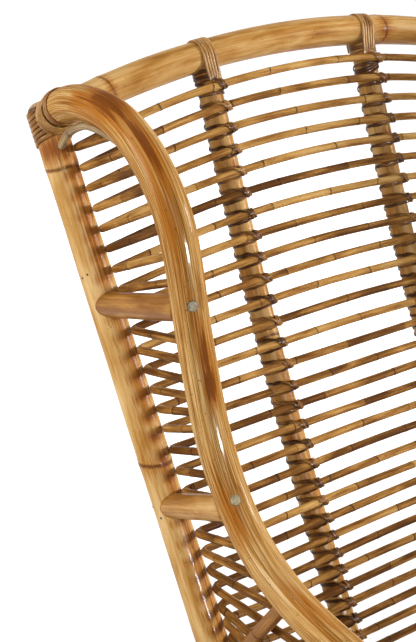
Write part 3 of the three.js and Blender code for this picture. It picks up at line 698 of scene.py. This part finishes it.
# Tone of each cane from the top down, from pale (-1) to dark (1); the lower rows are darker by painted shade
CANE_TONES_AND_SHADE = (0.1, 0.3, -0.1, 0, -0.3, 0.9, -0.1, 0.4, 0.3, 0.2, 0.1, 0.6, 0.3, 0.6, 0.4, 0.8, 0.6, 0.3,
    0.9, 0.6, 0.2, 0.9, 0.6, 1, 0.4, 0.8, 0.6, 0.9, 0.5, 0.7)
# Painted shade: the canes are darker on the wings, by this much, from this far out, and fully after this far
# more
WING_SHADE, SHADE_FROM, SHADE_OVER = 0.55, 0.22, 0.05
SAG, SAG_HALF = 0.5 * MM, 0.27
cane_axes = [cane_path(row) for row in range(CANES)]
for row, path in enumerate(cane_axes):
    rng = np.random.default_rng(500 + row)
    run = lengths(path)
    sag = SAG * np.clip(1 - np.abs(path[:, 0]) / SAG_HALF, 0, 1) ** 0.5
    path = path + Z * (sag * np.sin(run * rng.uniform(18, 30) + rng.uniform(0, PHASE)))[:, None]
    skin = tube(path, CANE_R, Z, 14, step=7 * MM, nodes=cane_nodes(rng, run[-1]), seed=600 + row, swell=0.05,
        waver=0.02, node_width=1.1 * MM, slant=0.3, tone=CANE_TONES_AND_SHADE[row], tone_spread=0.45)
    outward = (np.abs(skin["points"][:, 0]) - SHADE_FROM) / SHADE_OVER
    skin["marks"][:, 1] += WING_SHADE * np.clip(outward, 0, 1)
    dress(f"back_cane_{row + 1:02d}", [skin], CANE)

# The lining cane lies under the arm pole's first bend, from the post
coarse, chosen = ARM_AXIS[::12], np.arange(5, 13)
under = unit(np.cross(unit(coarse[chosen + 1] - coarse[chosen - 1]), INWARD))
off_post = np.radians(13)
liner_start = wing_place(0.034, POST_TOUCH * np.cos(off_post), -POST_TOUCH * np.sin(off_post))
liner = joined([liner_start, wing_place(0.0238, 0.034)], coarse[chosen] - under * ARM_TOUCH)
liner = spline(liner, 12)
dress_pair("wing_liner_cane", [tube(liner, CANE_R, X, 18, nodes=(0.027, 0.12), seed=71, node_width=1.0 * MM,
    tone=-0.4, tone_spread=0.2, start=("round", 3.6 * MM), end=("round", 2.5 * MM))], LINING)

# ------------ spacers, plugs and struts
SPACER_SET, SPACER_CUT, STRUT_CUT = 2.5 * MM, 16 * MM, 17 * MM
PLUG_DROP, PLUG_DEPTH, PLUG_STAND, PLUG_EDGE = 7.5 * MM, 6.5 * MM, 0.6 * MM, 4.9 * MM
PLUG_TURN = np.radians(20)
gaps = blend(post_drops[:-1], post_drops[1:], 0.46)
# Each spacer's last number is a darker tone, painted shade of the arm pole's shadow, most on the upper one
for name, wing_share, rise, seed, shade in (("upper", 0.385, -0.1, 81, 1.0), ("lower", 0.82, 0.045, 82, 0.5)):
    drop = gaps[np.argmin(np.abs(gaps - wing_share * WING_DROP))]
    place, along = arm_crossing(drop, rise)
    start, end = wing_place(drop) - INWARD * SPACER_SET, place - INWARD * SPACER_SET
    across = unit(end - start)
    path = np.linspace(start + across * SPACER_CUT, end - across * SPACER_CUT, 20)
    dress_pair(f"wing_spacer_{name}", [tube(path, SPACER_R, X, 28, step=3 * MM, seed=seed, start=POST_COPE,
        tone=shade, tone_spread=0.1, end=coped(place, along, ARM_R))], SKIN)
    turned = np.cos(PLUG_TURN) * FORWARD - np.sin(PLUG_TURN) * INWARD
    turned = unit(turned - along * (along @ turned))
    face = place - along * PLUG_DROP + turned * ARM_R
    knob = tube(np.linspace(face - turned * PLUG_DEPTH, face + turned * PLUG_STAND, 6), PLUG_R, X, 24,
        step=1 * MM, seed=seed + 5, start=("round", 0.5 * MM), end=("round", 0.8 * MM))
    off = knob["points"] - face
    off = np.linalg.norm(off - (off @ turned)[:, None] * turned, axis=1)
    # Painted shade: the plug's rim and side take the dark ring colour, as the gap round the plug
    knob["marks"][:, 0], knob["marks"][:, 2] = off > PLUG_EDGE, 0
    dress_pair(f"wood_plug_{name}", [knob], PLUG)

start, (place, along) = wing_place(drop_to(SEAT + 0.062)), arm_crossing(0.975 * WING_DROP, 0)
across = unit(place - start)
path = np.linspace(start + across * STRUT_CUT, place - across * STRUT_CUT, 24)
dress_pair("wing_strut", [tube(path, STRUT_R, X, 20, nodes=(0.03, 0.11), seed=91, start=POST_COPE, tone=1.1,
    tone_spread=0.1, end=coped(place, along, ARM_R))], SKIN)


# ------------ seat and legs
def bar_between(low, low_pole, high, high_pole, radius, reference, **options):
    """A straight bar between the axes of two poles, coped to their surfaces at both ends."""
    run = unit(high - low)
    path = np.linspace(low + run * low_pole[3] * 0.95, high - run * high_pole[3] * 0.95, 40)
    return tube(path, radius, reference, start=low_pole, end=high_pole, **options)


def cross_rail(node, pole, pole_radius, height, depth, **options):
    """A rail from a pole on the left to its mirror image; without a depth it lies in their plane."""
    place, way = axis_at(pole, height)
    end = place if depth is None else vec(place[0], depth, place[2])
    dress(node, [bar_between(end, coped(place, way, pole_radius), end * MIRROR,
        coped(place * MIRROR, way * MIRROR, pole_radius), CROSS_RAIL_R, Z, sides=28, **options)], SKIN)


def side_bar(node, rear_height, front_height, radius, **options):
    """A bar from the rear post to the front leg, on both sides. Returns the left one's ends."""
    rear, rear_way = axis_at(POST_AXIS, rear_height)
    front, front_way = axis_at(ARM_AXIS, front_height)
    dress_pair(node, [bar_between(rear, coped(rear, rear_way, POST_R), front, coped(front, front_way, ARM_R),
        radius, X, **options)], SKIN)
    return rear, front


cross_rail("seat_rail_rear", POST_AXIS, POST_R, REAR_RAIL_HEIGHT, REAR_RAIL_Y, nodes=(0.16, 0.42), seed=101)
cross_rail("seat_rail_front", ARM_AXIS, ARM_R, FRONT_RAIL_HEIGHT, None, nodes=(0.12, 0.38), seed=102)
side_rear, side_front = side_bar("seat_rail_side", *SIDE_RAIL_HEIGHTS, SIDE_RAIL_R, sides=28, nodes=(0.2,),
    seed=103)
side_bar("side_stretcher", STRETCHER_HEIGHT, STRETCHER_HEIGHT, STRETCHER_R, nodes=(0.24, 0.5), seed=104)


def on_rail(depth):
    """Place on the left side rail's axis at a depth."""
    return blend(side_rear, side_front, (depth - side_rear[1]) / (side_front[1] - side_rear[1]))


SLAT_LIFT, SLAT_CUT, BEARER_SINK = SIDE_RAIL_R + SLAT_R + GAP, 0.006, 1.2 * MM
deck = []
for slat, depth in enumerate(np.linspace(REAR_RAIL_Y - 0.042, FRONT_LEG_Y + 0.024, 15)):
    end = on_rail(depth) + vec(-SLAT_CUT, 0, SLAT_LIFT)
    nodes = np.random.default_rng(750 + slat).uniform(0.08, 0.16) + np.arange(4) * 0.13
    deck.append(tube(np.linspace(end, end * MIRROR, 40), SLAT_R, Z, 16, step=9 * MM, seed=700 + slat,
        waver=0.02, nodes=nodes, node_width=1.4 * MM))
for bearer, x in enumerate((-0.17, 0, 0.17)):
    low, high = (vec(x, depth + reach, on_rail(depth)[2] + SLAT_LIFT - SLAT_R - BEARER_R + BEARER_SINK)
        for depth, reach in ((REAR_RAIL_Y, -0.012), (FRONT_LEG_Y, 0.012)))
    deck.append(tube(np.linspace(low, high, 30), BEARER_R, X, 18, seed=720 + bearer, nodes=(0.2,)))
dress("seat_deck", deck, CANE)

# ------------ lashings at the crossings
# One strand a crossing, in a frame of the cane's direction, up the stile and out of the back,
# from the crossing of the cane's axis with the stile's middle: over the stile in the crease
# above the cane, across the cane's front, round the cane beside the stile, and back in the
# crease below. Places in mm: a along the cane, b up, c outwards. The last numbers are the share
# in which the strand faces from the cane and not from the stile, its width in mm, and its tone.
HALF_WAY = 0.0  # stands for half the way to the next crossing, which differs from row to row
# The tone darkens from the cane towards the stile's edge: the peel's colour, with painted shade in the
# creases
ABOVE = np.array([
    [-4.8, HALF_WAY, -31.4, 0, 2.6, 1], [-9.6, 8.4, -28.5, 0, 3, 1], [-13.4, 6.7, -22.6, 0, 3.2, 1],
    [-14.1, 6.3, -17, 0, 3.6, 1], [-12, 6.1, -10.6, 0.1, 4.2, 0.7], [-9, 6, -6.7, 0.25, 4.7, 0.5],
    [-6.8, 5.7, -3.2, 0.5, 4.9, 0.4], [-4.4, 4.7, 1.9, 0.85, 4.2, 0.35], [-1.6, 2.7, 4.6, 1, 3.6, 0.4],
    [1.6, -0.6, 5.4, 1, 3.5, 0.5], [4.6, -4, 3.7, 1, 3.3, 0.6]])
BELOW = np.array([
    [9.4, -5.4, -2.6, 0.9, 3.2, 0.5], [6.4, -6, -4.4, 0.45, 4.4, 0.5], [2, -5.8, -2.8, 0.4, 5, 0.5],
    [-3.6, -5.8, -3.4, 0.4, 5.2, 0.5], [-8.6, -6, -6.4, 0.25, 4.9, 0.6], [-12.2, -6.2, -10.8, 0.1, 4.2, 0.8],
    [-14.1, -6.4, -17, 0, 3.6, 1], [-13.4, -6.8, -22.6, 0, 3.2, 1], [-9.6, -8.4, -28.5, 0, 3, 1],
    [-4.8, HALF_WAY, -31.4, 0, 2.6, 1]])
HELIX_TURNS, HELIX_START = 2.2, np.radians(-60)
OUTER_HALF_WAY = 9.0  # mm, above the first cane and below the last


def crossing_strands(side, seed):
    """The strands of all crossings on one stile, as smooth curves through the listed places,
    with a helix of 2.2 turns round the cane between the two creases."""
    rng = np.random.default_rng(seed)
    near, ends = side * STILE_X + np.array([-2, 2]) * MM, []
    for path in cane_axes:
        middle = path[np.abs(path[:, 0]) < 0.2]
        middle = middle[np.argsort(middle[:, 0])]
        ends.append(columns(*[np.interp(near, middle[:, 0], middle[:, k]) for k in range(3)]))
    ends = np.array(ends)
    centre, along = ends.mean(1), unit(ends[:, 1] - ends[:, 0])
    slope = back_slope(centre[:, 2])
    out = unit(columns(0, -1, slope))
    out = unit(out - along * np.sum(out * along, -1, keepdims=True))
    basis = np.stack([along, np.cross(out, along), out], 1)

    half_pitch = np.linalg.norm(np.diff(centre, axis=0), axis=1) / 2 / MM
    first, last = np.repeat(ABOVE[None], CANES, 0), np.repeat(BELOW[None], CANES, 0)
    first[:, 0, 1] = [OUTER_HALF_WAY, *half_pitch]
    last[:, -1, 1] = -np.array([*half_pitch, OUTER_HALF_WAY])
    turns = np.linspace(0, 1, 22)[1:-1]
    angle = HELIX_START - 2 * np.pi * HELIX_TURNS * turns
    radius = CANE_R / MM + 1.5 + 0.3 * np.sin(3 * angle) - 0.5 * turns
    sideways = 4.4 + 4.6 * turns - 1.6 * np.sin(angle) - 2.8 * np.cos(angle)
    helix = columns(sideways, radius * np.sin(angle), radius * np.cos(angle), 1, 3.1, 0.35)
    listed = joined(first, np.repeat(helix[None], CANES, 0), last, axis=1)

    local, on_cane, width, tone = listed[..., :3], listed[..., 3:4], listed[..., 4], listed[0, :, 5]
    jitter = rng.normal(0, 0.25, local.shape)
    jitter[:, [0, -1]] = 0
    local = local + jitter
    radial = local * vec(0, 1, 1)
    stile = local * vec(1, 0, 1) + vec(0, 0, STILE_TOUCH / MM)
    face = unit(unit(stile) * (1 - on_cane) + unit(radial) * on_cane)
    place = centre[:, None] + np.einsum("nks,nsd->nkd", local * MM, basis)
    face = np.einsum("nks,nsd->nkd", face, basis)
    place, face = spline(place, 3), unit(spline(face, 3))
    share = np.arange(place.shape[1]) / 3
    listed_at = np.arange(width.shape[1])
    width = np.stack([np.interp(share, listed_at, row) for row in width]) * rng.uniform(0.85, 1.1, (CANES, 1))
    tone = np.interp(share, listed_at, tone)[None, :, None]
    return strands(place, face, width * MM, 1.1 * MM, seed, tone)


for side, name in ((-1, "left"), (1, "right")):
    make_piece(f"crossing_lashings_{name}", [crossing_strands(side, 900 + side)], PEEL)


# ------------ lashings of corner and rail
def wound(centre, a, b, axis, radius, turns, pitch, start_turn, width, seed, thickness=1.5 * MM, tone=0.0,
        lean=0.0):
    """A close winding of flat peel: centre, plus pitch along the axis for each turn, plus
    radius times (a cos t + b sin t). The radius may vary with the travel along the axis, and
    lean moves each turn along the axis with cos t."""
    t = np.linspace(0, 1, int(turns * 28)) * turns * 2 * np.pi + start_turn
    facing = a * np.cos(t)[:, None] + b * np.sin(t)[:, None]
    travel = pitch * (t - start_turn) / (2 * np.pi) + lean * np.cos(t)
    size = radius(travel) if callable(radius) else radius + 0 * travel
    path = centre + axis * travel[:, None] + facing * size[:, None]
    return strands(path[None], facing[None], width, thickness, seed, tone)


HEAD_FROM = 31 * MM


def head_radius(travel):
    """Over the post, then shrinking as a quarter circle over its rounded head."""
    over = np.clip((travel - HEAD_FROM) / HEAD_ROUND, 0, 0.95)
    return POST_R + 1.2 * MM - HEAD_ROUND * (1 - np.sqrt(1 - over**2))


# At the corner: round the arm pole's root, again further out, round the post's head, and a dark
# sleeve on the post under the peel, painted shade that darkens the gaps between the bands
root_way = FORWARD - 0.2 * DOWN
corner_parts = [
    wound(wing_place(0.0012, 0.0175), DOWN, INWARD, root_way, ARM_R + 1.7 * MM, 6.6, 3.0 * MM, 0.6,
          2.5 * MM, 1001, thickness=1.6 * MM, tone=0.1),
    wound(wing_place(-0.0033, 0.0385), DOWN, INWARD, FORWARD, ARM_R + 1.0 * MM, 2.1, 4.5 * MM, 0.9,
          2.9 * MM, 1004, thickness=1.7 * MM),
    wound(wing_place(0.025), FORWARD, INWARD, -DOWN, head_radius, 7.4, 4.9 * MM, 0.2, 4.45 * MM, 1002,
          thickness=1.8 * MM, lean=3.5 * MM, tone=0.3),
    # Painted shade: a very dark sleeve under the post's winding, seen in the gaps between its bands
    tube(wing_place(np.linspace(0.0185, -HEAD_STAND - 0.0004, 12)), POST_R + 0.5 * MM, X, 28, step=3 * MM,
         seed=1003, start=("round", 0.3 * MM), end=("round", HEAD_ROUND), tone=2.5, tone_spread=0.1),
]
dress_pair("corner_lashing", corner_parts, PEEL)


def rail_lashing(side, set_off, low, turns, lean, seed):
    """Five bands that come up the stile's back, round the rail as a circle, and run straight
    down to the stile's front, then turns round the stile's top above and below the first cane.
    The bands' way and facing are places out of the back and up, in mm and shares."""
    spot, along = rail_point(side * STILE_X), rail_way(side * STILE_X)
    out = unit(-Y + along * along[1])
    up = np.cross(out, along)
    down_stile = unit(at_length(stile_path, 0.05) * (MIRROR if side > 0 else 1) - spot)
    front = np.cross(X, down_stile)
    front = unit(front * -np.sign(front[1]))
    angle = np.radians(np.linspace(212, 16, 24))
    circle = columns(np.cos(angle), np.sin(angle))
    way = joined([[-5, -28], [-9.5, -19]], (RAIL_R / MM + 1.0) * circle,
        [[21.0, -9.0], [23.4, -17.5], [24.0, -23.0]])
    facing = joined([[-1, -0.3], [-0.9, -0.5]], circle, [[0.96, 0.27]] * 3)
    squeeze = joined([0.8, 0.9], np.ones(24), [0.97, 0.9, 0.86])
    sideways = (set_off + 3.5 * np.arange(-2, 3))[:, None] * squeeze
    axis = spot + MM * (sideways[..., None] * along + way[:, :1] * out + way[:, 1:] * up)
    face = np.broadcast_to(facing[:, :1] * out + facing[:, 1:] * up, axis.shape)
    bands = strands(spline(axis, 3), unit(spline(face, 3)), 3.2 * MM, 1.7 * MM, seed, tone=-0.6)
    # Each winding's drop down the stile, distance off it, turns, pitch, start and lean; all but
    # the turns and the start, in radians, are in mm
    windings = (14.5, 1.6, 4.3, 3.2, 1.0, 0.8), (low, 0.9, turns, 3.3, 0.4, lean)
    return [bands, *[
        wound(spot + down_stile * drop * MM, X, front, down_stile, STILE_R + off * MM, count, pitch * MM,
              begin, 3.0 * MM, seed + k, tone=0.5, lean=shift * MM)
        for k, (drop, off, count, pitch, begin, shift) in enumerate(windings, 1)]]


dress("rail_lashing_left", rail_lashing(-1, -2.4, 36.5, 2.4, 1, 1010), PEEL)
dress("rail_lashing_right", rail_lashing(1, -0.3, 39.5, 3.4, -5, 1020), PEEL)

# ------------ nails
NAIL_R, NAIL_STAND = 1.3 * MM, 0.5
NAILS = ((0.182, -82), (0.180, -56), (0.430, -104), (0.442, -72))  # place along the post, turn


def nail(place, turn):
    """A round nail head, 2.6 mm across, that stands 0.5 mm out of the rear post."""
    spots = at_length(POST_AXIS, place + np.array([-2, 0, 2]) * MM)
    _, across, out = ring_frames(spots, X)
    way = across[1] * np.cos(np.radians(turn)) + out[1] * np.sin(np.radians(turn))
    path = spots[1] + way * (POST_R + np.linspace(-4, NAIL_STAND, 5)[:, None] * MM)
    head = tube(path, NAIL_R, Z, 14, step=1 * MM, seed=int(place * 1e3), start=("round", 0.3 * MM),
        end=("round", 0.7 * MM))
    head["marks"][:, 2] = 0
    return head


nails = [nail(*spot) for spot in NAILS]
make_piece("post_nails_left", nails, IRON)
make_piece("post_nails_right", [mirrored(part) for part in nails], IRON)

# ------------ floor, light and camera
FLOOR_HALF, AIR_LIGHT = 12.0, 0.07
# The floor's own white grows between these distances from the middle, in metres
GLOW_FROM, GLOW_TO, GLOW_LEAST = 0.45, 1.3, 0.4
floor_mesh = bpy.data.meshes.new("studio_floor")
floor_mesh.from_pydata([(x * FLOOR_HALF, y * FLOOR_HALF, 0) for x, y in ((-1, -1), (1, -1), (1, 1), (-1, 1))],
    [], [(0, 1, 2, 3)])
studio_floor = set_up("studio_floor", floor_mesh)
f = Nodes(bpy.data.materials.new("White_studio_floor"), "Principled BSDF")
seen = f.seen()
middle = f.add("VectorMath", {0: f.add("TexCoord", {}).outputs["Object"]}, operation="LENGTH")
glow = f.window(middle.outputs["Value"], GLOW_FROM, GLOW_TO, GLOW_LEAST, 1.0)
f.fill(f.end, {"Base Color": (0.5, 0.5, 0.5, 1), "Roughness": 0.9, "Specular IOR Level": 0.0,
    "Emission Color": (1, 1, 1, 1), "Emission Strength": f.calc("MULTIPLY", seen, glow)})
floor_mesh.materials.append(f.owner)

# The air is white to the eye and gives little light
air = Nodes(bpy.data.worlds.new("Studio_air"), "Background")
level = air.add("MapRange", {"Value": air.seen(), "To Min": AIR_LIGHT, "To Max": 1.0})
air.fill(air.end, {"Color": (1, 1, 1, 1), "Strength": level.outputs["Result"]})
bpy.context.scene.world = air.owner


def lamp(name, place, target, size, power):
    """A softbox of a width and height at a place, turned to face a target."""
    light = bpy.data.lights.new(name, "AREA")
    light.shape, light.size, light.size_y, light.energy = "RECTANGLE", size[0], size[1], power
    holder = set_up(name, light)
    holder.location = place
    z = unit(vec(*place) - vec(*target))
    x = unit(np.cross(Z, z))
    holder.rotation_euler = Matrix(np.stack([x, np.cross(z, x), z], 1).tolist()).to_euler()
    return holder


lamp("Left_softbox", (-2.6, 0.7, 1.7), (-0.25, 0.3, 0.75), (1.0, 1.4), 64)
lamp("Right_softbox", (1.95, -1.0, 1.4), (-0.25, 0.3, 0.7), (0.5, 0.8), 78)
lamp("Front_softbox", (-1.6, -2.6, 2.3), (-0.1, 0.2, 0.75), (1.6, 1.6), 38)
lamp("Top_softbox", (-0.2, 0.4, 3.0), (0, 0.1, 0.7), (1.4, 1.4), 12)
back = lamp("Back_softbox", (1.2, 2.7, 1.3), (0, 0.2, 0.6), (1.6, 1.4), 46)
back.visible_glossy = False
strip = lamp("Front_strip", (-0.05, -1.9, 0.87), (-0.3, 0.15, 0.83), (0.40, 0.2), 175)
strip.visible_diffuse = False

FOCAL_PIXELS, PICTURE_HEIGHT, SENSOR = 1300, 642, 36
scene = bpy.context.scene
scene.view_settings.view_transform = "Standard"
camera = set_up("Camera", bpy.data.cameras.new("Camera"))
camera.location = (-0.8827, -1.1640 + RAIL_Y, 1.36675)
camera.rotation_euler = tuple(np.radians((90 - 25.30, 0, -33.89)))
camera.data.sensor_width = SENSOR
camera.data.lens = FOCAL_PIXELS / PICTURE_HEIGHT * SENSOR
scene.camera = camera
